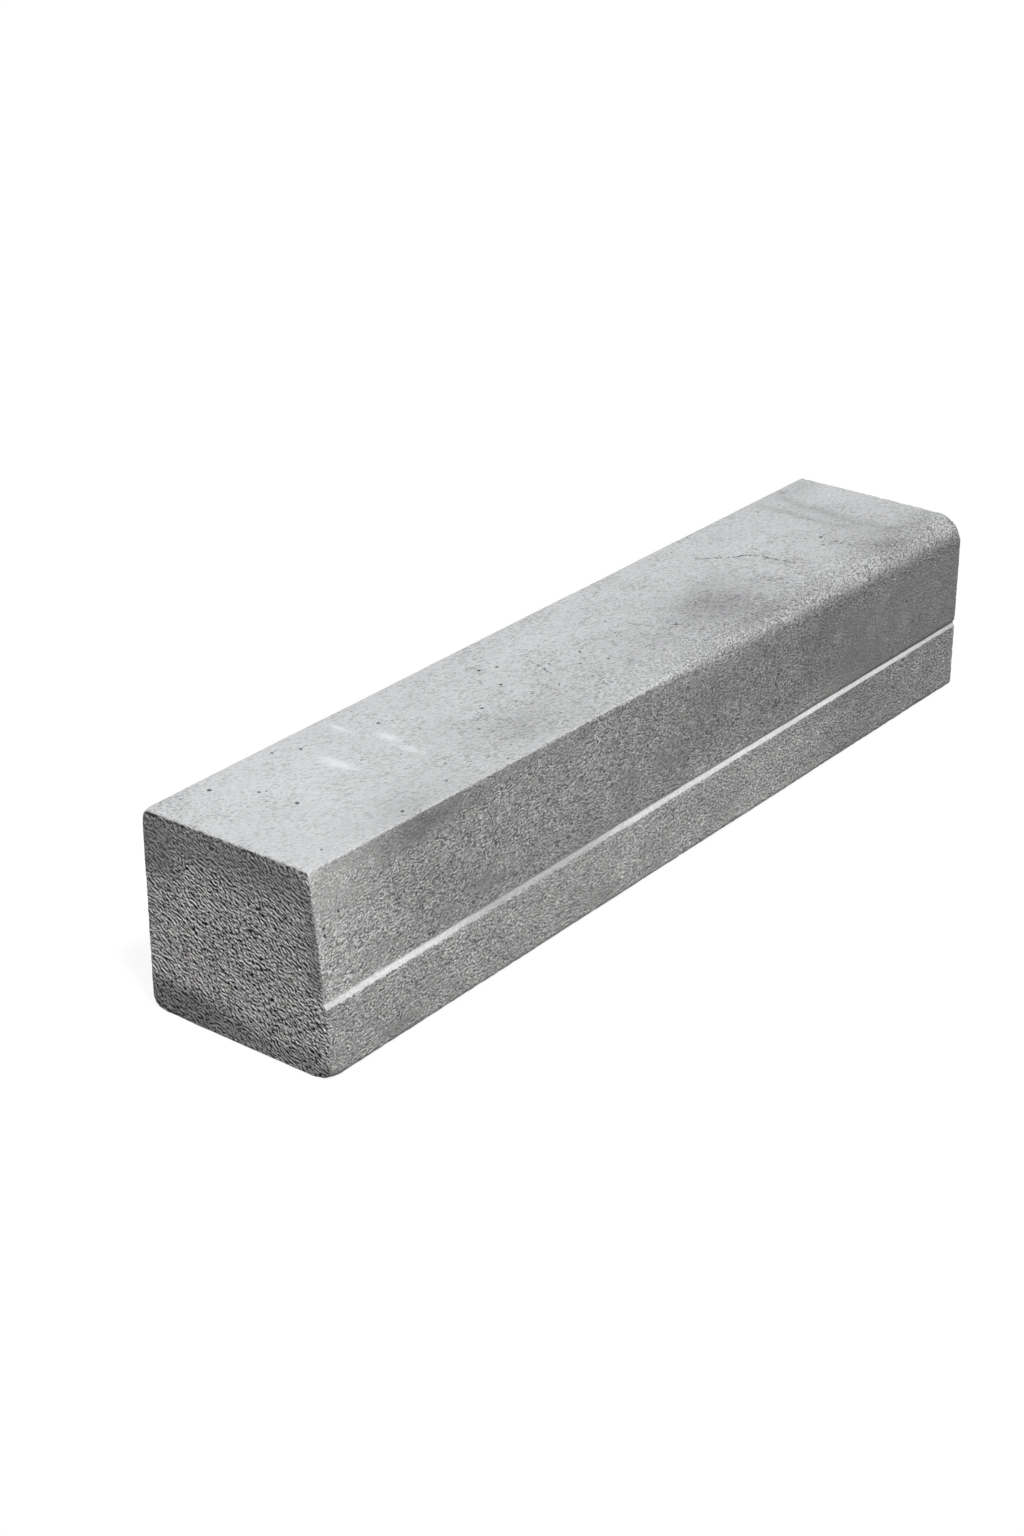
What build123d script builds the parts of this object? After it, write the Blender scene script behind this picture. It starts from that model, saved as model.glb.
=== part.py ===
from build123d import *
from math import radians, sin, tan
import os

# A cast concrete transition kerb, lying on its bed, in millimetres.
# X runs along the kerb, the road face looks towards -Y, the back towards +Y, and Z is up.
# The origin is at the middle of the underside. At the -X end the road face is battered and its
# top arris is crisp. The face turns gradually plumb towards the +X end, and from some way along
# the arris opens into a wide bullnose.

# Overall size
length = 1000.0
base_width = 200.0
height = 190.0

# Ledge along the road face, where the upper face steps back from the lower one
ledge_height = 69.0
ledge_rise = 5.0
ledge_lip = 2.0

# Upper road face at the battered end
batter_ledge_depth = 4.5
batter_start = 98.0
batter_top_width = 184.0
batter_arris_radius = 3.0

# Upper road face at the bullnosed end, where the ledge shrinks to a shallow groove. The start is
# measured from the battered end.
bullnose_start = 350.0
bullnose_groove_depth = 1.3
bullnose_radius = 28.0

# Arrises that are the same all along the kerb
foot_arris_radius = 7.0
heel_arris_radius = 5.0
back_arris_radius = 5.0

# Small chamfer around both end faces
end_arris = 2.0


def rounding(before, corner, after, radius):
    """Start, crown and end of the arc that rounds a corner between its two neighbours."""
    to_before = (before - corner).normalized()
    to_after = (after - corner).normalized()
    half_angle = radians(to_before.get_angle(to_after)) / 2
    bisector = (to_before + to_after).normalized()
    start = corner + to_before * (radius / tan(half_angle))
    crown = corner + bisector * (radius / sin(half_angle) - radius)
    end = corner + to_after * (radius / tan(half_angle))
    return start, crown, end


def section(place):
    """Closed cross-section at a distance from the battered end."""
    share = (place - end_arris) / (length - 2 * end_arris)
    opening = max(place - bullnose_start, 0) / (length - end_arris - bullnose_start)
    ledge_top = ledge_height + ledge_rise
    ledge_depth = batter_ledge_depth + (bullnose_groove_depth - batter_ledge_depth) * share
    face_foot_width = base_width - batter_ledge_depth * (1 - share)
    top_width = base_width - (base_width - batter_top_width) * (1 - share)
    arris_radius = batter_arris_radius + (bullnose_radius - batter_arris_radius) * opening
    # Width from the back, level above the bed, and radius of each corner
    outline = (
        (0, 0, heel_arris_radius),
        (base_width, 0, foot_arris_radius),
        (base_width, ledge_height, 0),
        (base_width - ledge_depth, ledge_top, 0),
        (face_foot_width, ledge_top + ledge_lip, 0),
        (face_foot_width, batter_start, 0),
        (top_width, height, arris_radius),
        (0, height, back_arris_radius),
    )
    x = place - length / 2
    corners = [Vector(x, base_width / 2 - width, level) for width, level, _ in outline]
    edges = []
    stretches = []
    for index, corner in enumerate(corners):
        radius = outline[index][2]
        if radius > 0:
            after = corners[(index + 1) % len(corners)]
            start, crown, end = rounding(corners[index - 1], corner, after, radius)
            edges.append(ThreePointArc(start, crown, end))
            stretches.append((start, end))
        else:
            stretches.append((corner, corner))
    for index, (start, _) in enumerate(stretches):
        edges.append(Line(stretches[index - 1][1], start))
    return Face(Wire(edges))


def kerb():
    """One ruled body along the kerb, with a chamfer around each end face."""
    battered = section(end_arris)
    opening = section(bullnose_start)
    bullnosed = section(length - end_arris)
    battered_end = Pos(X=-end_arris) * inset(battered)
    bullnosed_end = Pos(X=end_arris) * inset(bullnosed)
    return loft([battered_end, battered, opening, bullnosed, bullnosed_end], ruled=True)


def inset(face):
    """The same section, smaller all round by the end chamfer."""
    return offset(face, amount=-end_arris, kind=Kind.INTERSECTION).face()


os.makedirs("parts", exist_ok=True)
kerb_stone = kerb()
kerb_stone.label = "kerb_stone"
export_step(kerb_stone, "parts/kerb_stone.step")
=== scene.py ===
"""A cast concrete transition kerb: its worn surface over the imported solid, the floor, light and camera."""
import math

import bmesh
import bpy
import numpy as np
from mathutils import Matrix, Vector, geometry, noise


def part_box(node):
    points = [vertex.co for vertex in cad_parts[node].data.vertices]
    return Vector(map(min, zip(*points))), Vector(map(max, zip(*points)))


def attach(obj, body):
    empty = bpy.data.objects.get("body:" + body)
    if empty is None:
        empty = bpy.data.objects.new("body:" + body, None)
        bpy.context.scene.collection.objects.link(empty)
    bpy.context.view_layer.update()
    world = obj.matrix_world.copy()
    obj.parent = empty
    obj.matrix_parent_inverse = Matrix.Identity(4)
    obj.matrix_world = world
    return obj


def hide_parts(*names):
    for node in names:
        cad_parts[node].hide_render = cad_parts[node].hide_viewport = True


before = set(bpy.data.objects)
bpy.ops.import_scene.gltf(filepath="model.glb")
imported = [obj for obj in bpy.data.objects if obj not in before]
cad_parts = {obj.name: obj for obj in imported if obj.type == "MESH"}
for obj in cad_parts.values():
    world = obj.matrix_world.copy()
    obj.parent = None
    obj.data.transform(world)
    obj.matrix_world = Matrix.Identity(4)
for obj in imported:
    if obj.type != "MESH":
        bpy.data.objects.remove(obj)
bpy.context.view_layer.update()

NODE = "kerb_stone"
BODY = "root"
MM = 0.001

# Size of the kerb, in millimetres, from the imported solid
LOW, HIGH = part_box(NODE)
LENGTH, WIDTH, HEIGHT = ((HIGH - LOW) / MM)[:]

# Section of the kerb, in millimetres: widths from the back, levels from the bed. It is the solid's, but the
# ledge rises less at the battered end, is deeper at the bullnosed end, and has soft edges.
LEDGE_LEVEL = 69.0
BATTER_LEDGE_RISE, BULLNOSE_LEDGE_RISE = 3.5, 5.2
LEDGE_LIP = 2.0
BATTER_START = 98.0
BATTER_TOP_WIDTH = 184.0
BATTER_LEDGE_DEPTH = 4.5
BULLNOSE_LEDGE_DEPTH = 2.4
BULLNOSE_START = 350.0
BATTER_ARRIS_RADIUS = 3.0
BULLNOSE_RADIUS = 28.0
FOOT_RADIUS = 7.0
HEEL_RADIUS = 5.0
BACK_RADIUS = 5.0
LEDGE_EDGE_RADIUS = 2.5
LEDGE_ROOT_RADIUS = 0.7
END_ROUND = 1.8

# Faces in their order round the section: name, rows of the mesh on it, rows round the corner after it
FACES = (
    ("back", 26, 4),
    ("bed", 16, 6),
    ("channel", 24, 3),
    ("ledge", 3, 2),
    ("lip", 1, 0),
    ("foot", 9, 0),
    ("batter", 35, 14),
    ("top", 68, 5),
)

# Spacing of the rings along the kerb and of the points on each end face, in millimetres, the rows round an
# end arris, and how near to the outline those points come, in their spacing
NEAR_RING_SPACING = 1.2
FAR_RING_SPACING = 3.6
RING_GROWTH = 1.08
END_ROWS = 4
NEAR_END_SPACING = 1.4
FAR_END_SPACING = 4.0
END_POINT_GAP = 0.6

# Settings of the triangulation: keep what is inside the outline, and how near two points are one
INSIDE_ONLY = 1
SAME_POINT = 1e-6

# Depths of the relief in millimetres, and how far from the ledge the sway of its line still reaches
WAVE_DEPTH = 0.5
ROUGH_DEPTHS = {"top": 0.17, "side": 0.2, "end": 0.3, "nose": 0.5, "ledge": 0.04}
RIB_DEPTH = 0.1
CHIP_DEPTH = 1.6
LEDGE_SWAY, LEDGE_SWAY_REACH = 0.6, 8.0

# Noise of the relief and the tones: size in millimetres, octaves, and a shift that makes each one differ
WAVE_NOISE = 110.0, 2, 0.0
ROUGH_NOISE = 8.0, 3, 7.7
RIB_NOISE = 2.6, 2, 4.1
CHIP_NOISE = 4.5, 3, 3.1
SWAY_NOISE = 28.0, 2, 0.0
NOSE_NOISE = 30.0, 3, 5.5
CLOUD_NOISE = 60.0, 4, 1.3
ACROSS_NOISE = 30.0, 3, 9.4
UP_NOISE = 24.0, 3, 6.2

# Ribs of the ends: how many times longer than wide, and by how many degrees they fall towards the road
RIB_STRETCH, RIB_FALL = 1.9, 30.0

# Camera fitted to the edges in the photograph, whose frame is 1024 by 1536 pixels
FRAME_HEIGHT = 1536
FOCAL_PIXELS = 2820.0
SENSOR = 36.0
CAMERA_PLACE = (-1.944, -1.414, 1.236)
CAMERA_AZIMUTH = -52.05
CAMERA_PITCH = 26.0


def rounded_corner(before, corner, after, radius, rows):
    """Points along the arc that rounds a corner, or the corner itself where it stays sharp."""
    if rows == 0:
        return [corner]
    to_before = (before - corner).normalized()
    to_after = (after - corner).normalized()
    half = to_before.angle(to_after) / 2
    centre = corner + (to_before + to_after).normalized() * (radius / math.sin(half))
    start = corner + to_before * (radius / math.tan(half)) - centre
    end = corner + to_after * (radius / math.tan(half)) - centre
    return [centre + start.slerp(end, step / rows) * radius for step in range(rows + 1)]


def section_ring(place):
    """Points round the section, as (width, level), and which are ledge, some way from the battered end."""
    share = (place - END_ROUND) / (LENGTH - 2 * END_ROUND)
    opening = max(place - BULLNOSE_START, 0) / (LENGTH - END_ROUND - BULLNOSE_START)
    ledge_top = LEDGE_LEVEL + BATTER_LEDGE_RISE + (BULLNOSE_LEDGE_RISE - BATTER_LEDGE_RISE) * share
    ledge_depth = BATTER_LEDGE_DEPTH + (BULLNOSE_LEDGE_DEPTH - BATTER_LEDGE_DEPTH) * share
    foot_width = WIDTH - BATTER_LEDGE_DEPTH * (1 - share)
    top_width = WIDTH - (WIDTH - BATTER_TOP_WIDTH) * (1 - share)
    arris_radius = BATTER_ARRIS_RADIUS + (BULLNOSE_RADIUS - BATTER_ARRIS_RADIUS) * opening
    outline = (
        (0, 0, HEEL_RADIUS),
        (WIDTH, 0, FOOT_RADIUS),
        (WIDTH, LEDGE_LEVEL, LEDGE_EDGE_RADIUS),
        (WIDTH - ledge_depth, ledge_top, LEDGE_ROOT_RADIUS),
        (foot_width, ledge_top + LEDGE_LIP, 0),
        (foot_width, BATTER_START, 0),
        (top_width, HEIGHT, arris_radius),
        (0, HEIGHT, BACK_RADIUS),
    )
    corners = [Vector((width, level)) for width, level, _ in outline]
    rounded = []
    for index, (_, _, rows) in enumerate(FACES):
        after = corners[(index + 1) % len(corners)]
        radius = outline[index][2]
        rounded.append(rounded_corner(corners[index - 1], corners[index], after, radius, rows))
    points = []
    ledge = []
    for index, (name, rows, _) in enumerate(FACES):
        start = rounded[index - 1][-1]
        end = rounded[index][0]
        points += [start.lerp(end, step / rows) for step in range(1, rows)]
        ledge += [float(name == "ledge")] * (rows - 1)
        points += rounded[index]
        last = len(rounded[index]) - 1
        ledge += [float(name == "ledge" or name == "channel" and step == last) for step in range(last + 1)]
    return np.array(points), np.array(ledge)


def ring_normals(points):
    """Outward directions round a ring, longer at sharp corners so that an inset keeps its width."""
    along = np.roll(points, -1, axis=0) - points
    along /= np.linalg.norm(along, axis=1)[:, None]
    after = np.column_stack((along[:, 1], -along[:, 0]))
    before = np.roll(after, 1, axis=0)
    middle = (before + after) / 2
    return middle / (middle**2).sum(axis=1)[:, None]


def ring_places(inner):
    """Places of the rings along the kerb, closer together by the battered end, which shows in full."""
    places = [-inner]
    spacing = NEAR_RING_SPACING
    while places[-1] + spacing < inner:
        places.append(places[-1] + spacing)
        spacing = min(spacing * RING_GROWTH, FAR_RING_SPACING)
    places[-1] = inner
    return places


def ring_at(place, keys):
    """The ring at a distance from the battered end, on a straight line between the key rings beside it."""
    for (start, near), (end, far) in zip(keys, keys[1:]):
        if place <= end:
            break
    share = min(max((place - start) / (end - start), 0), 1)
    return near * (1 - share) + far * share


def body_rings():
    """Places, outward directions and ledge shares of all rings, from the battered to the bullnosed end."""
    keys = [(place, section_ring(place)[0]) for place in (END_ROUND, BULLNOSE_START, LENGTH - END_ROUND)]
    ledge = section_ring(END_ROUND)[1]
    inner = LENGTH / 2 - END_ROUND
    rows = []
    for step in range(END_ROWS):
        turn = math.pi / 2 * step / END_ROWS
        rows.append((-LENGTH / 2 + END_ROUND * (1 - math.cos(turn)), turn, -1))
    rows += [(x, math.pi / 2, 0) for x in ring_places(inner)]
    rows += [(-x, turn, 1) for x, turn, _ in reversed(rows[:END_ROWS])]
    places = []
    directions = []
    for x, turn, end in rows:
        ring = ring_at(x + LENGTH / 2, keys)
        outward = ring_normals(ring)
        ring = ring - outward * (END_ROUND * (1 - math.sin(turn)))
        outward /= np.linalg.norm(outward, axis=1)[:, None]
        places.append(np.column_stack((np.full(len(ring), x), WIDTH / 2 - ring[:, 0], ring[:, 1])))
        sideways = outward * math.sin(turn)
        directions.append(np.column_stack(
            (np.full(len(ring), end * math.cos(turn)), -sideways[:, 0], sideways[:, 1])))
    return np.array(places), np.array(directions), np.tile(ledge, (len(rows), 1))


def to_outline(points, outline):
    """Distance from each point to a closed outline, negative outside it."""
    start = outline[None, :, :]
    edge = np.roll(outline, -1, axis=0)[None, :, :] - start
    reach = points[:, None, :] - start
    share = np.clip((reach * edge).sum(axis=2) / (edge**2).sum(axis=2), 0, 1)
    distance = np.linalg.norm(reach - share[:, :, None] * edge, axis=2).min(axis=1)
    above = reach[:, :, 1] >= 0
    crossing = above != np.roll(above, -1, axis=1)
    steep = np.where(edge[:, :, 1] == 0, 1, edge[:, :, 1])
    left = reach[:, :, 0] < edge[:, :, 0] * reach[:, :, 1] / steep
    odd = (crossing & left).sum(axis=1) % 2 == 1
    return np.where(odd, distance, -distance)


def cap(outline, spacing):
    """Inner points of an end face, their distance to its edge, and triangles over all its points."""
    low, high = outline.min(axis=0), outline.max(axis=0)
    points = []
    for row, level in enumerate(np.arange(low[1], high[1], spacing * math.sqrt(3) / 2)):
        shift = spacing / 2 * (row % 2)
        points += [(across, level) for across in np.arange(low[0] + shift, high[0], spacing)]
    points = np.array(points)
    distance = to_outline(points, outline)
    inside = distance > spacing * END_POINT_GAP
    points, distance = points[inside], distance[inside]
    count = len(outline)
    edges = [(index, (index + 1) % count) for index in range(count)]
    everything = [Vector(point) for point in np.vstack((outline, points))]
    _, _, triangles, sources, _, _ = geometry.delaunay_2d_cdt(everything, edges, [], INSIDE_ONLY, SAME_POINT)
    return points, distance, [[sources[corner][0] for corner in triangle] for triangle in triangles]


def kerb_arrays():
    """Vertices, faces, outward directions, ledge shares and distances to an end arris of the plain kerb."""
    places, directions, ledge = body_rings()
    rings, around = ledge.shape
    index = np.arange(rings * around).reshape(rings, around)
    here, there = index[:-1], index[1:]
    corners = (here, np.roll(here, -1, 1), np.roll(there, -1, 1), there)
    faces = np.stack(corners, axis=2).reshape(-1, 4).tolist()
    to_end = LENGTH / 2 - np.abs(places[:, :, 0])
    vertices = [places.reshape(-1, 3)]
    outward = [directions.reshape(-1, 3)]
    shares = [ledge.reshape(-1)]
    distances = [to_end.reshape(-1)]
    count = rings * around
    for ring, side, spacing in ((0, -1, NEAR_END_SPACING), (rings - 1, 1, FAR_END_SPACING)):
        points, distance, triangles = cap(places[ring, :, 1:], spacing)
        numbers = np.concatenate((index[ring], np.arange(count, count + len(points))))
        faces += [[int(numbers[corner]) for corner in triangle] for triangle in triangles]
        vertices.append(np.column_stack((np.full(len(points), side * LENGTH / 2), points)))
        outward.append(np.tile((float(side), 0.0, 0.0), (len(points), 1)))
        shares.append(np.zeros(len(points)))
        distances.append(distance)
        count += len(points)
    return np.vstack(vertices), faces, np.vstack(outward), np.concatenate(shares), np.concatenate(distances)


def field(points, size, octaves, shift):
    """Smooth noise from about -1 to 1 at each point, with features of about that size."""
    scaled = points.astype(float) / size + shift
    return np.array([noise.fractal(Vector(point), 1.0, 2.0, octaves) for point in scaled])


def ease(values, low, high):
    """A smooth step from 0 at low to 1 at high, and level beyond them. High may be the smaller of the two."""
    share = np.clip((values - low) / (high - low), 0, 1)
    return share * share * (3 - 2 * share)


def profile(x, start, steps):
    """A value along the kerb: what it starts from, and how much it changes between each two places."""
    return start + sum(change * ease(x, low, high) for low, high, change in steps)


# Pores seen in the photograph, on the top as (x, y) and on the road face as (x, z), in millimetres
TOP_PORES = (
    (-417, 44), (-334, 72), (-253, 53), (-304, -65), (-371, -73), (-413, 5), (-355, 86), (-208, -24),
    (-440, 79), (-111, 54), (-95, 46), (-173, 1), (-123, 19), (-20, 7), (-16, -23), (365, -12),
)
FACE_PORES = ((-490, 137), (-490, 131), (-471, 145), (396, 130))
PORE_RADII, PORE_DEPTH = (1.6, 2.3), 1.6
FACE_PORE_RADIUS = 1.7

# Smaller pores scattered on the top between two places along it and across it
SMALL_PORE_COUNT = 26
SMALL_PORES_ALONG, SMALL_PORES_ACROSS = (-480, 480), (-70, 92)
SMALL_PORE_RADII, SMALL_PORE_DEPTH = (0.9, 1.4), 1.0

# Fine cracks seen in the photograph, on the top from (x, y) to (x, y), each a chain of small pits
TOP_CRACKS = (
    ((-65, 31), (-69, 14)),
    ((-69, 14), (-77, -4)),
    ((238, 54), (262, 28)),
    ((262, 28), (283, 12)),
    ((283, 12), (284, -14)),
    ((284, -14), (291, -36)),
)
CRACK_STEP, CRACK_SHARE, CRACK_STRAY = 2.4, 0.75, 0.9
CRACK_RADII, CRACK_DEPTHS = (1.0, 1.5), (0.5, 1.2)

# How far beyond a pore its faces are divided, and where the painted shade in its hollow begins and is
# darkest, in its radii
PORE_MARGIN = 2.5
PORE_SHADE_REACH = (1.15, 0.7)
PORE_SEED = 11


def face_at(x, z):
    """Where the upper road face is, at a place along the kerb and a level above its plumb foot."""
    share = (LENGTH / 2 - x) / LENGTH
    batter = (WIDTH - BATTER_LEDGE_DEPTH - BATTER_TOP_WIDTH) * (z - BATTER_START) / (HEIGHT - BATTER_START)
    return -WIDTH / 2 + share * (BATTER_LEDGE_DEPTH + batter)


def pores():
    """Every pore as (centre, radius, depth): those in the photograph, and smaller ones scattered on top."""
    random = np.random.default_rng(PORE_SEED)
    found = []
    for x, y in TOP_PORES:
        found.append(((x, y, HEIGHT), random.uniform(*PORE_RADII), PORE_DEPTH))
    for x, z in FACE_PORES:
        found.append(((x, face_at(x, z), z), FACE_PORE_RADIUS, PORE_DEPTH))
    for start, end in TOP_CRACKS:
        count = math.ceil(math.dist(start, end) / CRACK_STEP)
        for step in np.flatnonzero(random.random(count) < CRACK_SHARE):
            stray = Vector(random.uniform(-CRACK_STRAY, CRACK_STRAY, 2))
            x, y = Vector(start).lerp(Vector(end), step / count) + stray
            found.append(((x, y, HEIGHT), random.uniform(*CRACK_RADII), random.uniform(*CRACK_DEPTHS)))
    for _ in range(SMALL_PORE_COUNT):
        x, y = random.uniform(*SMALL_PORES_ALONG), random.uniform(*SMALL_PORES_ACROSS)
        found.append(((x, y, HEIGHT), random.uniform(*SMALL_PORE_RADII), SMALL_PORE_DEPTH))
    return found


# Corners of the battered end that are worn round: place, reach and depth in millimetres
WORN_CORNERS = (
    ((-500, -100, 0), 15, 3.5),
    ((-500, 100, 0), 14, 2.6),
    ((-500, 100, 190), 10, 2.0),
    ((-500, -84, 190), 15, 4.5),
)


def wear(places):
    """How far each point goes towards the middle of the kerb where a corner is worn."""
    push = np.zeros_like(places)
    for corner, reach, depth in WORN_CORNERS:
        inward = np.array((1, -np.sign(corner[1]), 1 if corner[2] == 0 else -1)) / math.sqrt(3)
        away = np.linalg.norm(places - np.array(corner), axis=1) / reach
        push += depth * ease(away, 1, 0)[:, None] * inward
    return push


def refine(bm, centres, radii):
    """Divides the faces around each pore, so that its bowl is round."""
    bm.faces.ensure_lookup_table()
    middles = np.array([face.calc_center_median() for face in bm.faces])
    edges = set()
    for centre, radius in zip(centres, radii):
        near = np.linalg.norm(middles - np.array(centre), axis=1) < radius
        for number in np.flatnonzero(near):
            edges.update(bm.faces[number].edges)
    bmesh.ops.subdivide_edges(bm, edges=list(edges), cuts=2, use_grid_fill=True)
    bmesh.ops.triangulate(bm, faces=[face for face in bm.faces if len(face.verts) > 4])


def set_values(mesh, name, values, kind="FLOAT", key="value"):
    """Stores one value for each vertex under a name."""
    layer = mesh.attributes.new(name, kind, "POINT")
    layer.data.foreach_set(key, np.asarray(values, np.float32).ravel())


def get_values(mesh, name, width=1, key="value"):
    """Reads the values stored under a name, one row for each vertex."""
    values = np.zeros(len(mesh.vertices) * width, np.float32)
    mesh.attributes[name].data.foreach_get(key, values)
    return values.reshape(-1, width) if width > 1 else values


def plain_mesh():
    """The kerb's mesh before its relief, divided more finely around the pores."""
    vertices, faces, outward, ledge, to_end = kerb_arrays()
    mesh = bpy.data.meshes.new("kerb")
    mesh.from_pydata(vertices.tolist(), [], faces)
    set_values(mesh, "outward", outward, "FLOAT_VECTOR", "vector")
    set_values(mesh, "ledge", ledge)
    set_values(mesh, "to_end", to_end)
    bm = bmesh.new()
    bm.from_mesh(mesh)
    found = pores()
    refine(bm, [centre for centre, _, _ in found], [radius + PORE_MARGIN for _, radius, _ in found])
    bmesh.ops.recalc_face_normals(bm, faces=bm.faces)
    bm.to_mesh(mesh)
    bm.free()
    return mesh, found


def spot(x, across, place, half_size, turn):
    """A soft oval mark: 1 in its middle and 0.14 at its half size."""
    turn = math.radians(turn)
    along = (x - place[0]) * math.cos(turn) + (across - place[1]) * math.sin(turn)
    beside = (across - place[1]) * math.cos(turn) - (x - place[0]) * math.sin(turn)
    return np.exp(-2 * ((along / half_size[0]) ** 2 + (beside / half_size[1]) ** 2))


# Marks seen in the photograph: place on the face and half size in millimetres, turn in degrees, and how
# much paler the surface is there, or darker where that is negative
TOP_MARKS = (
    ((161, -34), (74, 61), 0, -0.27),
    ((110, -30), (150, 60), 0, -0.10),
    ((200, 5), (70, 22), 0, -0.10),
    ((385, -72), (50, 42), 0, -0.22),
    ((375, -20), (30, 24), 0, -0.08),
    ((404, 35), (9, 90), 3, -0.17),
    ((430, 20), (11, 100), -4, -0.19),
    ((420, 0), (45, 160), 0, -0.07),
    ((440, -60), (36, 14), 0, -0.12),
    ((470, 80), (40, 22), 0, -0.08),
    ((175, -80), (85, 20), 0, -0.14),
    ((449, 83), (8, 6), 0, -0.30),
    ((278, -15), (14, 45), 10, -0.07),
    ((-365, -72), (90, 42), 0, -0.16),
    ((-190, -45), (62, 34), 0, -0.14),
    ((-215, 5), (34, 34), 0, -0.08),
)
SCUFFS = (
    ((-336, 26), (6.5, 24), 4, 0.26),
    ((-283, 73), (4.5, 16), 0, 0.26),
    ((-270, 27), (6, 17), -10, 0.30),
    ((-277, -3), (4.5, 20), 8, 0.20),
)
FACE_MARKS = (
    ((-465, 115), (35, 50), 0, 0.10),
    ((-360, 178), (80, 16), 0, -0.32),
    ((-400, 190), (90, 22), 0, -0.10),
    ((-280, 98), (34, 16), -10, -0.18),
    ((-225, 184), (60, 12), 0, -0.14),
    ((-168, 173), (18, 14), 0, -0.18),
    ((-185, 132), (30, 8), 12, 0.18),
    ((-128, 145), (38, 8), -15, 0.14),
    ((-85, 112), (24, 16), 0, -0.18),
    ((-20, 112), (28, 18), 0, -0.16),
    ((50, 145), (60, 26), 0, -0.12),
    ((310, 115), (90, 55), 0, -0.12),
    ((-410, 12), (42, 10), 0, -0.22),
    ((-125, 16), (42, 10), 0, -0.16),
    ((335, 30), (20, 14), 0, 0.10),
    ((395, 36), (22, 13), 0, 0.08),
    ((455, 28), (20, 15), 0, 0.12),
)


def marked(across, up, marks):
    """How much paler, or darker where negative, the marks make each point of a face."""
    total = np.zeros(len(across))
    for place, half_size, turn, strength in marks:
        total += strength * spot(across, up, place, half_size, turn)
    return total


# How pale the ledge is at the battered end, and how that changes along the kerb
LEDGE_TONE = 0.81
LEDGE_STEPS = (
    (-495, -455, 0.14),
    (-385, -270, -0.34),
    (-150, -70, 0.34),
    (-60, 100, 0.08),
    (340, 480, -0.20),
)

# The same for the road face above the ledge, for a strip of it just over the ledge, for the part below the
# ledge, and for a strip of that just under it
UPPER_TONE = 1.24
UPPER_STEPS = ((-490, -370, -0.36), (-150, 20, -0.13), (40, 300, -0.15))
UPPER_FOOT_TONE = 0.08
UPPER_FOOT_STEPS = ((-450, -300, -0.08), (-60, 60, 0.16), (230, 380, -0.16))
UPPER_FOOT_LEVELS = (105, 80)
LOWER_TONE = 1.1
LOWER_STEPS = ((150, 310, -0.33),)
LOWER_HEAD_STEPS = ((20, 110, -0.14), (240, 330, 0.14))
LOWER_HEAD_LEVELS = (50, 60)
LEDGE_LEVELS = (68, 76)


def face_tone(x, z):
    """How pale the road face is along the kerb: palest at the battered end."""
    foot = profile(x, UPPER_FOOT_TONE, UPPER_FOOT_STEPS)
    upper = profile(x, UPPER_TONE, UPPER_STEPS) + foot * ease(z, *UPPER_FOOT_LEVELS)
    head = profile(x, 0, LOWER_HEAD_STEPS)
    lower = profile(x, LOWER_TONE, LOWER_STEPS) + head * ease(z, *LOWER_HEAD_LEVELS)
    return lower + (upper - lower) * ease(z, *LEDGE_LEVELS)


# Dark bands of the battered end. Each has a strength, and where it sets in and is full: levels, places across
# the kerb, or distances from the end's outline.
END_TOP_BAND, END_TOP_LEVELS = 0.85, (136, 176)
END_CORNER_LEVELS, END_CORNER_ACROSS = (116, 150), (40, 80)
END_BATTER_BAND, END_BATTER_REACH = 0.7, (17, 6)
END_BATTER_ACROSS, END_BATTER_LEVELS = (-60, -75), (70, 95)

# The band along the foot is stronger and higher towards the back, and less smooth than it is dark
END_FOOT_BAND, END_FOOT_MORE, END_FOOT_ACROSS = 0.85, 0.5, (-50, 50)
END_FOOT_LEVELS, END_FOOT_HIGHER = (30, 10), (14, 12)
END_FOOT_SMOOTH = 0.3


def end_bands(x, y, z, to_end):
    """Where the battered end is dark, and where it is smooth: on its top and batter, and less on its foot."""
    top = END_TOP_BAND * ease(z, *END_TOP_LEVELS)
    corner = ease(z, *END_CORNER_LEVELS) * ease(y, *END_CORNER_ACROSS)
    batter = END_BATTER_BAND * ease(to_end, *END_BATTER_REACH)
    batter *= ease(y, *END_BATTER_ACROSS) * ease(z, *END_BATTER_LEVELS)
    rise = ease(y, *END_FOOT_ACROSS)
    low, high = (level + higher * rise for level, higher in zip(END_FOOT_LEVELS, END_FOOT_HIGHER))
    foot = (END_FOOT_BAND + END_FOOT_MORE * rise) * ease(z, low, high)
    dark = np.maximum.reduce([top, corner, batter, foot]) * (x < 0)
    return dark, np.maximum.reduce([top, corner, batter, END_FOOT_SMOOTH * foot]) * (x < 0)


def rib_places(places):
    """Coordinates in which the ribs of an end face are as long as they are wide."""
    fall = math.radians(RIB_FALL)
    along = places[:, 1] * math.cos(fall) + places[:, 2] * math.sin(fall)
    across = places[:, 2] * math.cos(fall) - places[:, 1] * math.sin(fall)
    return np.column_stack((places[:, 0], along / RIB_STRETCH, across))


# Where one part gives way to the next. A lean is the share of the outward direction that points along the
# kerb for an end, or up for the top, and the top's widen where the bullnose does.
END_LEANS = (0.5, 0.9)
TOP_LEANS, WIDER_LEANS, WIDER_ALONG = (0.56, 0.66), (-0.3, 0.34), (-170, 220)
TOP_LEVEL = 120

# The bullnose is rougher than the top, up to a ragged line
NOSE_ALONG, NOSE_LEVELS, NOSE_ACROSS = (-140, 90), (145, 168), (-30, -82)
NOSE_STRAY = 12

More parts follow.
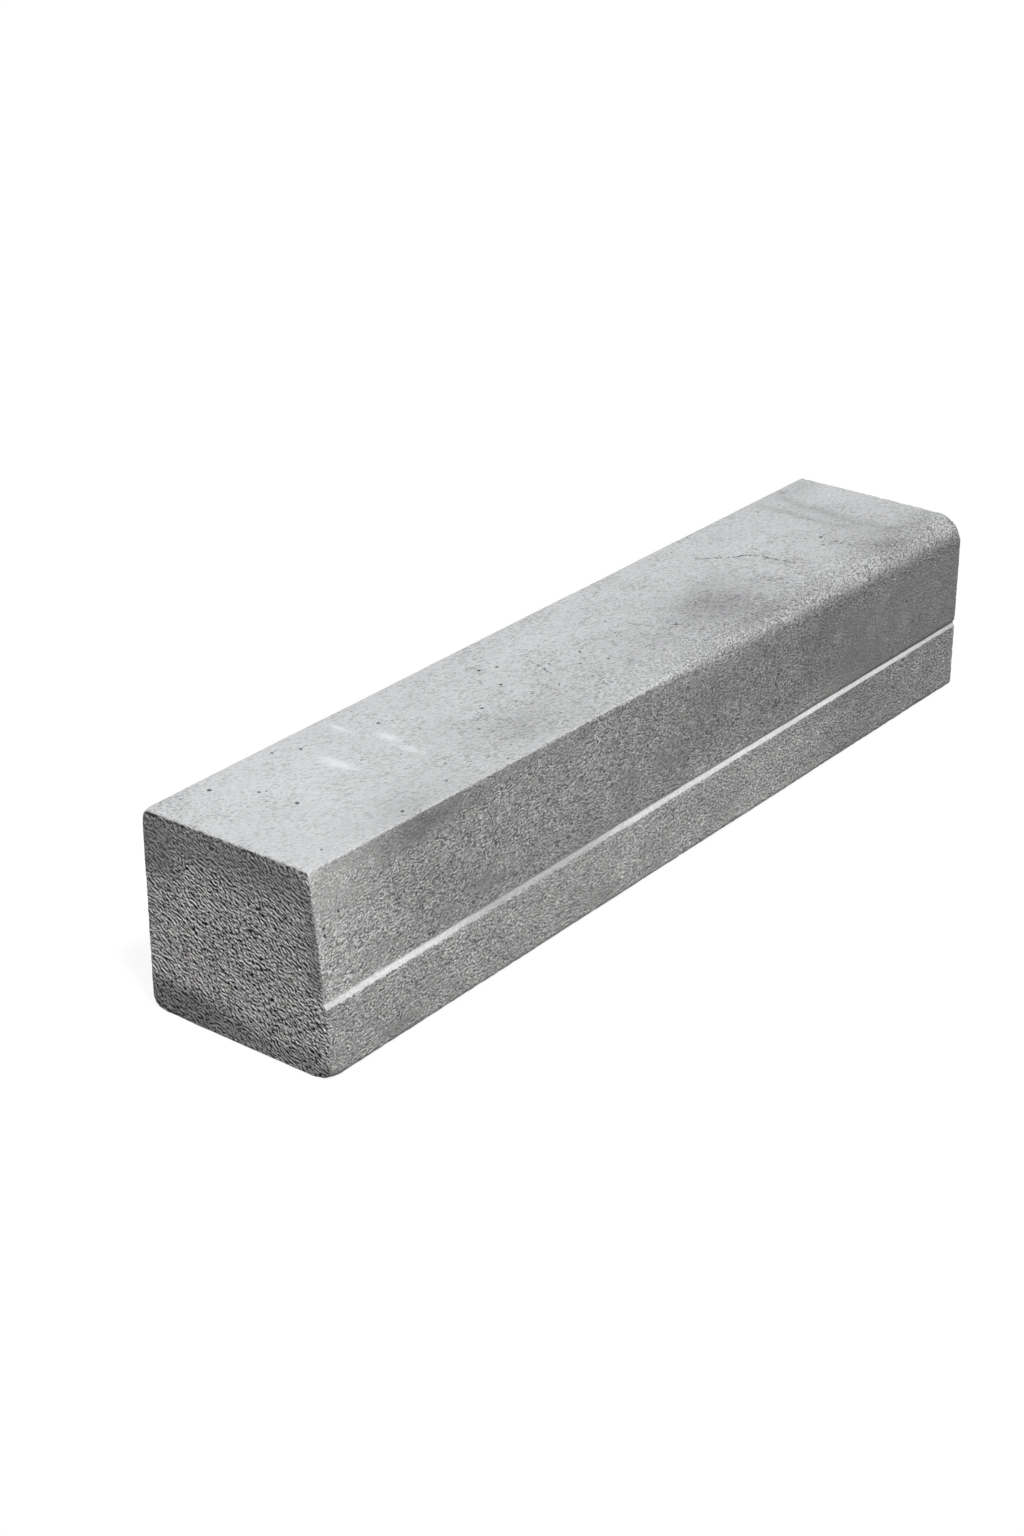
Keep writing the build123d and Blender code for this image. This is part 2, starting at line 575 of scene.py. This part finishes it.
# How far the edges of marks stray, in millimetres, and how much of that the scuffs do
MARK_STRAY, SCUFF_STRAY = 10, 0.15


class Surface:
    """The points of the plain kerb, in millimetres, with how far each belongs to each part, from 0 to 1."""

    def __init__(self, mesh):
        self.places = get_values(mesh, "position", 3, "vector")
        self.x, self.y, self.z = self.places.T
        self.outward = get_values(mesh, "outward", 3, "vector")
        self.outward /= np.linalg.norm(self.outward, axis=1)[:, None]
        self.ledge = get_values(mesh, "ledge")
        self.to_end = get_values(mesh, "to_end")
        self.find_parts()
        self.find_marks()

    def find_parts(self):
        """Shares of the ends, the top, the sides, the road face, the bullnose and the near end's bands."""
        self.end = ease(np.abs(self.outward[:, 0]), *END_LEANS)
        wide = ease(self.x, *WIDER_ALONG) * (self.y < 0)
        low, high = (lean + wider * wide for lean, wider in zip(TOP_LEANS, WIDER_LEANS))
        self.top = ease(self.outward[:, 2], low, high) * (self.z > TOP_LEVEL) * (1 - self.end)
        self.side = np.clip(1 - self.top - self.end, 0, 1)
        self.face = self.side * (self.y < 0)
        ragged = self.y - NOSE_STRAY * field(self.places, *NOSE_NOISE)
        nose = ease(self.x, *NOSE_ALONG) * ease(self.z, *NOSE_LEVELS) * ease(ragged, *NOSE_ACROSS)
        self.nose = nose * (1 - self.end) * (1 - self.ledge)
        dark, smooth = end_bands(self.x, self.y, self.z, self.to_end)
        self.dark, self.smooth = dark * self.end, smooth * self.end

    def find_marks(self):
        """Clouds in the colour, and how much paler the marks and the scuffs make each point."""
        self.clouds = field(self.places, *CLOUD_NOISE)
        stray = (self.clouds, field(self.places, *ACROSS_NOISE), field(self.places, *UP_NOISE))
        ragged = self.places + MARK_STRAY * np.column_stack(stray)
        self.on_top = self.top * marked(ragged[:, 0], ragged[:, 1], TOP_MARKS)
        self.on_face = marked(ragged[:, 0], ragged[:, 2], FACE_MARKS)
        self.scuffed = self.top * marked(self.x + SCUFF_STRAY * (ragged[:, 0] - self.x), self.y, SCUFFS)

    def by_part(self, values):
        """A value at each point, from its values on the top, the sides and the ends."""
        return values["top"] * self.top + values["side"] * self.side + values["end"] * self.end


# How much less rough the smooth bands of the near end are
BAND_CALM = 0.6

# Chips: where they set in before an end arris, levels of the near end's top arris and of the foot's, how
# sharp the foot's is, how strong they are on all but the first, and which part of the noise makes them
CHIP_REACH = (5.0, 1.0)
TOP_ARRIS_LEVEL, FOOT_ARRIS_LEVEL = 183, 12
FOOT_ARRIS_TURN = (0.05, 0.25)
MILD_CHIPS = 0.35
CHIP_RANGE = (-0.05, 0.5)
# Strength of the painted shade in the hollow of a chip by the near end's top
CHIP_SHADE = 0.7


def rough_depth(at):
    """Depth of the broad waves, the rough grain and the ribs of the ends."""
    amount = at.by_part(ROUGH_DEPTHS)
    amount += (ROUGH_DEPTHS["nose"] - amount) * at.nose
    amount += (ROUGH_DEPTHS["ledge"] - amount) * at.ledge
    depth = WAVE_DEPTH * (0.5 + 0.5 * field(at.places, *WAVE_NOISE))
    depth += amount * (1 + field(at.places, *ROUGH_NOISE)) * (1 - BAND_CALM * at.smooth)
    ribs = 1 + field(rib_places(at.places), *RIB_NOISE)
    return depth + RIB_DEPTH * at.end * (1 - at.smooth) * ribs


def chips(at):
    """From 0 to 1, where the arrises are chipped, and where painted shade darkens a chip's hollow by the near
    end's top.
    """
    by_top = (at.x < 0) & (at.z > TOP_ARRIS_LEVEL)
    arris = ease(at.to_end, *CHIP_REACH) * np.where(by_top, 1.0, MILD_CHIPS)
    turn = ease(1 - np.abs(at.outward).max(axis=1), *FOOT_ARRIS_TURN)
    arris = np.maximum(arris, MILD_CHIPS * turn * (at.z < FOOT_ARRIS_LEVEL))
    chipped = ease(field(at.places, *CHIP_NOISE), *CHIP_RANGE) * arris
    return chipped, CHIP_SHADE * chipped * by_top


def bowls(at, found):
    """Depth of the pores at each point, and from 0 to 1 how strongly painted shade darkens their hollows
    there.
    """
    depth = np.zeros(len(at.x))
    dark = np.zeros(len(at.x))
    for centre, radius, deep in found:
        away = np.linalg.norm(at.places - np.array(centre), axis=1) / radius
        # Painted shade in the pore's hollow
        dark = np.maximum(dark, min(deep, 1) * ease(away, *PORE_SHADE_REACH))
        depth += deep * np.clip(1 - away**2, 0, 1)
    return depth, dark


# How much the clouds show on each part, and how the top darkens along the kerb
CLOUD_SHARES = {"top": 0.04, "side": 0.07, "end": 0.06}
TOP_STEPS = ((-450, -50, -0.07), (300, 450, -0.03))

# The bullnose is darker and the face under it paler, and the ends are paler except in their bands
NOSE_DARKER = 0.16
BROW_PALER, BROW_ALONG, BROW_LEVELS = 0.2, (-60, 40), (164, 180)
END_PALER, BAND_DARKER = 0.1, 0.36

# Painted highlight, partly a paler worn edge: the crisp part of the road side's top arris is paler, most
# where it leans halfway
ARRIS_HIGHLIGHT, ARRIS_ALONG, ARRIS_LEVEL = 0.12, (60, -60), 170
ARRIS_LEAN, ARRIS_LEAN_REACH = 0.7, (0.3, 0)


def tones(at):
    """How pale each point is beside the plain colour of its part, with a painted highlight along the road
    side's top arris.
    """
    tone = 1 + at.by_part(CLOUD_SHARES) * at.clouds + at.top * profile(at.x, 0, TOP_STEPS)
    tone += at.on_top + at.face * at.on_face + at.scuffed
    tone -= NOSE_DARKER * at.nose * at.top
    tone += BROW_PALER * at.face * ease(at.x, *BROW_ALONG) * ease(at.z, *BROW_LEVELS)
    tone *= 1 - at.face * (1 - face_tone(at.x, at.z)) * (1 - at.ledge)
    tone *= 1 - at.ledge * (1 - profile(at.x, LEDGE_TONE, LEDGE_STEPS))
    tone *= (1 + END_PALER * at.end) * (1 - BAND_DARKER * at.dark)
    # Painted highlight along the crisp part of the road side's top arris
    arris = ease(np.abs(at.outward[:, 2] - ARRIS_LEAN), *ARRIS_LEAN_REACH) * ease(at.x, *ARRIS_ALONG)
    return tone + ARRIS_HIGHLIGHT * arris * (at.z > ARRIS_LEVEL) * (at.y < 0)


# How strongly the grain shows on each part, and more so on the road side of the top past the near end
GRITS = {"top": 0.7, "side": 1.6, "end": 2.4}
NOSE_GRIT = 1.3
ROAD_SIDE_GRIT, ROAD_SIDE_ALONG, ROAD_SIDE_ACROSS = 0.8, (-430, -150), (50, -60)

# It shows less in the dark marks of the road face, in two areas of it, given along it and up it, in the
# scuffs, in the smooth bands of the near end and on the ledge
DARK_MARK_CALM, DARK_MARK_MOST = 3, 0.5
AREA_CALM, CALM_AREAS = 0.5, (((150, 330), (74, 78)), ((-400, -470), (110, 165)))
SCUFF_CALM, SCUFF_MOST = 4, 0.9
BAND_GRIT_CALM, LEDGE_CALM = 0.52, 0.8


def grits(at):
    """How strongly the fine grain shows at each point."""
    grit = at.by_part(GRITS)
    grit += ROAD_SIDE_GRIT * at.top * ease(at.x, *ROAD_SIDE_ALONG) * ease(at.y, *ROAD_SIDE_ACROSS)
    grit *= 1 - at.face * np.clip(-DARK_MARK_CALM * at.on_face, 0, DARK_MARK_MOST)
    for stretch, levels in CALM_AREAS:
        grit *= 1 - AREA_CALM * at.face * ease(at.x, *stretch) * ease(at.z, *levels)
    grit += (NOSE_GRIT - grit) * at.nose
    grit *= 1 - np.clip(SCUFF_CALM * at.scuffed, 0, SCUFF_MOST)
    return grit * (1 - BAND_GRIT_CALM * at.smooth) * (1 - LEDGE_CALM * at.ledge)


# How flawed the top's skin is along the kerb and across it, and more by the back corner of the near end
FLAW_STEPS = ((-420, -120, 1.0), (300, 450, -0.5))
FLAWS_LEAST, FLAWS_MORE, FLAWS_ACROSS = 0.7, 0.6, (60, -50)
CORNER_FLAWS, CORNER_ALONG, CORNER_ACROSS = 1.1, (-430, -475), (0, 50)
SCUFF_BARE = 5


def skins(at):
    """From 0 to 1 where the top has its smooth skin, and how flawed that is."""
    skin = at.top * (1 - at.nose) * (1 - np.clip(SCUFF_BARE * at.scuffed, 0, 1))
    flaws = profile(at.x, 0, FLAW_STEPS) * (FLAWS_LEAST + FLAWS_MORE * ease(at.y, *FLAWS_ACROSS))
    return skin, flaws + CORNER_FLAWS * ease(at.x, *CORNER_ALONG) * ease(at.y, *CORNER_ACROSS)


def press(mesh, at, depth):
    """Moves the mesh to its worn and rough surface, turns it into metres and keeps it in the solid's box."""
    places = at.places + wear(at.places)
    line = np.column_stack((at.x, np.zeros(len(at.x)), np.zeros(len(at.x))))
    from_ledge = np.abs(places[:, 2] - LEDGE_LEVEL - BATTER_LEDGE_RISE / 2)
    near_ledge = np.clip(1 - from_ledge / LEDGE_SWAY_REACH, 0, 1) * (places[:, 1] < 0)
    places[:, 2] += LEDGE_SWAY * field(line, *SWAY_NOISE) * near_ledge
    places -= at.outward * np.maximum(depth, 0)[:, None]
    places = np.clip(places * MM, np.array(LOW), np.array(HIGH))
    mesh.attributes["position"].data.foreach_set("vector", places.astype(np.float32).ravel())


def relief(mesh, found):
    """Presses the relief into the mesh and stores what the material needs to know."""
    at = Surface(mesh)
    chipped, chip_shade = chips(at)
    pore_depth, pore_shade = bowls(at, found)
    press(mesh, at, rough_depth(at) + CHIP_DEPTH * chipped + pore_depth)
    skin, flaws = skins(at)
    stored = {"top": at.top, "skin": skin, "end": at.end, "tone": tones(at), "grit": grits(at)}
    # Painted shade in the hollows of chips and pores
    stored["hollow_shade"] = np.maximum(chip_shade, pore_shade)
    stored["flaws"] = flaws
    for name, values in stored.items():
        set_values(mesh, name, values)
    for name in ("outward", "to_end"):
        mesh.attributes.remove(mesh.attributes[name])
    mesh.polygons.foreach_set("use_smooth", np.ones(len(mesh.polygons), bool))
    mesh.update()


class Graph:
    """Adds nodes to a material or a world, with numbers or links on their inputs."""

    def __init__(self, holder):
        holder.use_nodes = True
        self.tree = holder.node_tree
        self.tree.nodes.clear()

    def plug(self, socket, value):
        """Links another node's output to an input, or sets a plain value on it."""
        if isinstance(value, bpy.types.NodeSocket):
            self.tree.links.new(value, socket)
        else:
            socket.default_value = value

    def add(self, kind, settings=(), **inputs):
        """A new node. An underscore in the name of an input stands for a space."""
        node = self.tree.nodes.new("ShaderNode" + kind)
        for name, value in dict(settings).items():
            setattr(node, name, value)
        for name, value in inputs.items():
            self.plug(node.inputs[name.replace("_", " ")], value)
        return node

    def math(self, operation, first, second):
        """Two values put together by the operation of that name."""
        node = self.add("Math", {"operation": operation})
        self.plug(node.inputs[0], first)
        self.plug(node.inputs[1], second)
        return node.outputs[0]

    def mix(self, share, first, second):
        """Between two colours, by a share from 0 to 1, on the sockets that the node keeps for colours."""
        node = self.add("Mix", {"data_type": "RGBA"})
        self.plug(node.inputs[0], share)
        self.plug(node.inputs[6], first)
        self.plug(node.inputs[7], second)
        return node.outputs[2]

    def blend(self, share, first, second):
        """Between two values, by a share from 0 to 1 or beyond."""
        return self.math("ADD", first, self.math("MULTIPLY", share, self.math("SUBTRACT", second, first)))

    def scale(self, colour, factor):
        """A colour times a value."""
        node = self.add("VectorMath", {"operation": "SCALE"})
        self.plug(node.inputs[0], colour)
        self.plug(node.inputs["Scale"], factor)
        return node.outputs[0]

    def ramp(self, value, low, high, start, end):
        """A smooth step from start, where the value is low, to end, where it is high."""
        node = self.add("MapRange", {"interpolation_type": "SMOOTHSTEP"}, Value=value)
        for name, number in (("From Min", low), ("From Max", high), ("To Min", start), ("To Max", end)):
            self.plug(node.inputs[name], number)
        return node.outputs[0]

    def noise(self, vector, size, detail, roughness):
        """Noise from 0 to 1 with features of about that size, in millimetres."""
        scale = 1 / (size * MM)
        node = self.add("TexNoise", Vector=vector, Scale=scale, Detail=detail, Roughness=roughness)
        return node.outputs[0]

    def streaks(self, vector, turn, stretch, *settings):
        """Noise with a direction, turned in degrees and stretched."""
        turn = [math.radians(angle) for angle in turn]
        node = self.add("Mapping", {"vector_type": "TEXTURE"}, Vector=vector, Rotation=turn, Scale=stretch)
        return self.noise(node.outputs[0], *settings)

    def value(self, name):
        """The values stored on the mesh under a name."""
        return self.add("Attribute", {"attribute_name": name}).outputs["Fac"]


# A step towards the sky lamp, in millimetres. Painted light and shade: each grain is painted paler on the
# side that looks that way and darker on the other, as the lamp would light its relief.
LAMPWARD_STEP = (-0.3, -0.5, 0.8)

# Noise of the material: size in millimetres, detail and roughness
MARK_NOISE = 2.3, 1, 0.6
CLUSTER_NOISE = 28, 2, 0.6
PATCH_NOISE = 9, 2, 0.6
CLEAN_NOISE = 38, 2, 0.6

# The same for noise with a direction, after its turn in degrees and its stretch: grain on the sides, flakes
# and dark hairs on the top's skin, and fine ribs on the ends
GRAIN_NOISE = (0, -17, 0), (1.9, 1, 1), 1.38, 1, 0.75
FLAKE_NOISE = (0, 0, -25), (2.2, 1, 1), 1.7, 1, 0.7
HAIR_NOISE = (0, 0, -25), (2.6, 1, 1), 2.3, 1.5, 0.7
FINE_RIB_NOISE = (RIB_FALL, 0, 0), (1, RIB_STRETCH, 1), 1.95, 1, 0.7

# Ramps of the material: two values, and what they turn into
PALE_FLECKS, CLUSTER_SHARE = (0.925, 1.01, 0.98, 1.33), 0.7
DARK_FLECKS = 0.33, 0.42, 0.45, 1.03
PATCH_RAMP = 0.3, 0.7, 0.7, 1.3
CLEAN_RAMP = 0.35, 0.65, -0.04, 0.05
# Painted shade at the edges of the top's flakes that look away from the sky lamp, and painted light on their
# sides that look towards it
FLAKE_EDGE_SHADE = -0.2, -0.1, 0.68, 1.0
FLAKE_SIDE_LIGHT = -0.12, 0.12, 0.925, 1.07
HAIR_RAMP = 0.23, 0.28, 0.35, 1.0
# Painted shade in the hollows of pores and chips: from none to its darkest
HOLLOW_SHADE_RAMP = 0.0, 1.0, 1.0, 0.12

# Painted light and shade on the grain: its ramp's two values, and on the sides and the ends its slope and its
# contrast
PAINTED_SHADING_RANGE = -0.11, 0.11
SLOPES = 1.2, 1.9
CONTRASTS = 0.34, 0.46

# How clean the top's skin is where it is whole and where it is flawed
CLEAN_SHIFTS = 0.02, -0.045

# Plain colour of each part, and the bump: its depth in millimetres, and what share of that a hair has
SIDE_COLOUR = (0.442, 0.438, 0.432, 1)
TOP_COLOUR = (0.556, 0.564, 0.573, 1)
END_COLOUR = (0.405, 0.403, 0.4, 1)
LEDGE_COLOUR = (0.68, 0.68, 0.675, 1)
BUMP_DEPTH = 1.5
HAIR_DEPTH = 0.5

# Dull finish of the concrete
ROUGHNESS = 0.92
SPECULAR = 0.25


def grain_height(graph, place, skin, end):
    """Height of the fine grain, from 0 to 1: even on the sides, flaky on the top and ribbed on the ends."""
    grain = graph.streaks(place, *GRAIN_NOISE)
    flakes = graph.streaks(place, *FLAKE_NOISE)
    ribs = graph.streaks(place, *FINE_RIB_NOISE)
    return graph.blend(end, graph.blend(skin, grain, flakes), ribs)


def painted_grain_shading(graph, place, lamp_facing, grit, end):
    """Painted light and shade on the sides and the ends: each grain paler on its side that looks towards the
    sky lamp, darker on the other.
    """
    slope = graph.math("MULTIPLY", lamp_facing, graph.blend(end, *SLOPES))
    contrast = graph.blend(end, *CONTRASTS)
    darkest = graph.math("SUBTRACT", 1.0, contrast)
    palest = graph.math("ADD", 1.0, contrast)
    shade = graph.ramp(slope, *PAINTED_SHADING_RANGE, darkest, palest)
    patches = graph.ramp(graph.noise(place, *PATCH_NOISE), *PATCH_RAMP)
    strength = graph.math("MULTIPLY", grit, graph.blend(end, patches, 1.0))
    return graph.blend(strength, 1.0, shade)


def painted_flake_shading(graph, lamp_facing, clean):
    """Painted light and shade on the top's skin: a little paler towards the sky lamp, and painted shade at
    the edges of flakes that look away from it.
    """
    edges = graph.ramp(graph.math("ADD", lamp_facing, clean), *FLAKE_EDGE_SHADE)
    return graph.math("MULTIPLY", edges, graph.ramp(lamp_facing, *FLAKE_SIDE_LIGHT))


def flecks(graph, place, plain, end):
    """Shade of small marks beside the grain: clusters of pale ones on the sides, dark ones on the ends."""
    marks = graph.noise(place, *MARK_NOISE)
    clusters = graph.math("MULTIPLY", graph.noise(place, *CLUSTER_NOISE), CLUSTER_SHARE)
    pale = graph.ramp(graph.math("ADD", marks, clusters), *PALE_FLECKS)
    dark = graph.ramp(marks, *DARK_FLECKS)
    return graph.blend(plain, graph.blend(end, pale, dark), 1.0)


def concrete():
    """Cast concrete: pale and smooth on top, grainy on the sides, ribbed on the ends, with a pale ledge."""
    material = bpy.data.materials.new("concrete")
    graph = Graph(material)
    place = graph.add("TexCoord").outputs["Object"]
    top, skin, end, ledge = map(graph.value, ("top", "skin", "end", "ledge"))
    tone, grit, hollow_shade, flaws = map(graph.value, ("tone", "grit", "hollow_shade", "flaws"))
    body = graph.mix(top, SIDE_COLOUR, TOP_COLOUR)
    body = graph.mix(end, body, END_COLOUR)
    body = graph.mix(ledge, body, LEDGE_COLOUR)

    height = grain_height(graph, place, skin, end)
    # How each grain faces the sky lamp: its height less its height one step towards that lamp, which drives
    # the painted light and shade
    beyond = graph.add("Mapping", Vector=place, Location=[part * MM for part in LAMPWARD_STEP]).outputs[0]
    lamp_facing = graph.math("SUBTRACT", height, grain_height(graph, beyond, skin, end))
    clean = graph.ramp(graph.noise(place, *CLEAN_NOISE), *CLEAN_RAMP)
    clean = graph.math("ADD", clean, graph.blend(flaws, *CLEAN_SHIFTS))
    hair = graph.ramp(graph.math("ADD", graph.streaks(place, *HAIR_NOISE), clean), *HAIR_RAMP)
    hair = graph.blend(skin, 1.0, hair)
    # Painted light and shade on the grain of the sides, the ends and the top's skin
    grain = graph.blend(skin, painted_grain_shading(graph, place, lamp_facing, grit, end), painted_flake_shading(graph, lamp_facing, clean))
    marks = flecks(graph, place, graph.math("MAXIMUM", top, ledge), end)
    # Painted shade in the hollows of pores and chips
    shade = graph.ramp(hollow_shade, *HOLLOW_SHADE_RAMP)
    for factor in (tone, grain, marks, hair):
        shade = graph.math("MULTIPLY", shade, factor)

    level = graph.math("MULTIPLY", graph.math("SUBTRACT", height, 0.5), grit)
    level = graph.math("ADD", level, graph.math("MULTIPLY", hair, HAIR_DEPTH))
    bump = graph.add("Bump", Strength=1.0, Distance=BUMP_DEPTH * MM, Height=level).outputs[0]
    colour = graph.scale(body, shade)
    shader = graph.add("BsdfPrincipled", Base_Color=colour, Normal=bump, Roughness=ROUGHNESS)
    shader.inputs["Specular IOR Level"].default_value = SPECULAR
    graph.plug(graph.add("OutputMaterial").inputs["Surface"], shader.outputs[0])
    return material


def kerb():
    """The kerb stone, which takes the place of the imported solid."""
    mesh, found = plain_mesh()
    relief(mesh, found)
    mesh.materials.append(concrete())
    piece = bpy.data.objects.new("kerb", mesh)
    bpy.context.scene.collection.objects.link(piece)
    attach(piece, BODY)
    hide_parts(NODE)


# The floor, in metres, and how much light it throws back at the camera and at the kerb. The camera sees
# most of it as an even glow, so that the shadow on it stays faint.
FLOOR_SIZE = 30.0
FLOOR_ALBEDO = 0.95
FLOOR_BOUNCE = 0.15
SHADOW_SHARE = 0.07


def seen(graph):
    """1 for what the camera sees, also in a gloss or through glass, and 0 for light that falls on things."""
    path = graph.add("LightPath")
    indirect = graph.math("MAXIMUM", path.outputs["Is Glossy Ray"], path.outputs["Is Transmission Ray"])
    return graph.math("MAXIMUM", path.outputs["Is Camera Ray"], indirect)


def floor():
    """A level white floor under the kerb. It throws less light back at the kerb than it shows the camera."""
    material = bpy.data.materials.new("floor")
    graph = Graph(material)
    albedo = FLOOR_ALBEDO * SHADOW_SHARE
    shown = graph.add("BsdfDiffuse", Color=(albedo, albedo, albedo, 1)).outputs[0]
    glow = graph.add("Emission", Strength=1 - SHADOW_SHARE).outputs[0]
    both = graph.add("AddShader")
    graph.plug(both.inputs[0], shown)
    graph.plug(both.inputs[1], glow)
    dull = graph.add("BsdfDiffuse", Color=(FLOOR_BOUNCE, FLOOR_BOUNCE, FLOOR_BOUNCE, 1)).outputs[0]
    choice = graph.add("MixShader", Fac=seen(graph))
    graph.plug(choice.inputs[1], dull)
    graph.plug(choice.inputs[2], both.outputs[0])
    graph.plug(graph.add("OutputMaterial").inputs["Surface"], choice.outputs[0])
    half = FLOOR_SIZE / 2
    mesh = bpy.data.meshes.new("floor")
    corners = [(-half, -half, 0), (half, -half, 0), (half, half, 0), (-half, half, 0)]
    mesh.from_pydata(corners, [], [(0, 1, 2, 3)])
    mesh.materials.append(material)
    piece = bpy.data.objects.new("floor", mesh)
    bpy.context.scene.collection.objects.link(piece)


# Light: its strength from all round, and for each lamp its strength, its width in degrees and its direction
AMBIENT = 0.14
SUN_STRENGTH = 3.4
SUN_ANGLE = 6.0
SUN_DIRECTION = (-0.24, -0.46, 0.95)
BACK_STRENGTH = 1.3
BACK_ANGLE = 60.0
BACK_DIRECTION = (0.55, 0.8, 0.08)


def light():
    """Even light from all round, a soft lamp high above the road side, and a weak one behind for the back."""
    world = bpy.data.worlds.new("studio")
    bpy.context.scene.world = world
    graph = Graph(world)
    strength = graph.blend(seen(graph), AMBIENT, 1.0)
    background = graph.add("Background", Color=(1, 1, 1, 1), Strength=strength)
    graph.plug(graph.add("OutputWorld").inputs["Surface"], background.outputs[0])
    lamp("sky_lamp", SUN_STRENGTH, SUN_ANGLE, SUN_DIRECTION)
    lamp("back_lamp", BACK_STRENGTH, BACK_ANGLE, BACK_DIRECTION)


def lamp(name, strength, angle, direction):
    """A distant lamp that shines from a direction."""
    light_data = bpy.data.lights.new(name, "SUN")
    light_data.energy = strength
    light_data.angle = math.radians(angle)
    holder = bpy.data.objects.new(name, light_data)
    holder.rotation_mode = "QUATERNION"
    holder.rotation_quaternion = Vector(direction).to_track_quat("Z", "Y")
    bpy.context.scene.collection.objects.link(holder)


def camera():
    """The camera that was fitted to the photograph."""
    lens = bpy.data.cameras.new("camera")
    lens.sensor_width = SENSOR
    lens.lens = FOCAL_PIXELS / FRAME_HEIGHT * SENSOR
    holder = bpy.data.objects.new("camera", lens)
    holder.location = CAMERA_PLACE
    holder.rotation_euler = (math.radians(90 - CAMERA_PITCH), 0, math.radians(CAMERA_AZIMUTH))
    bpy.context.scene.collection.objects.link(holder)
    bpy.context.scene.camera = holder


camera()
light()
floor()
kerb()
bpy.context.scene.view_settings.view_transform = "Standard"
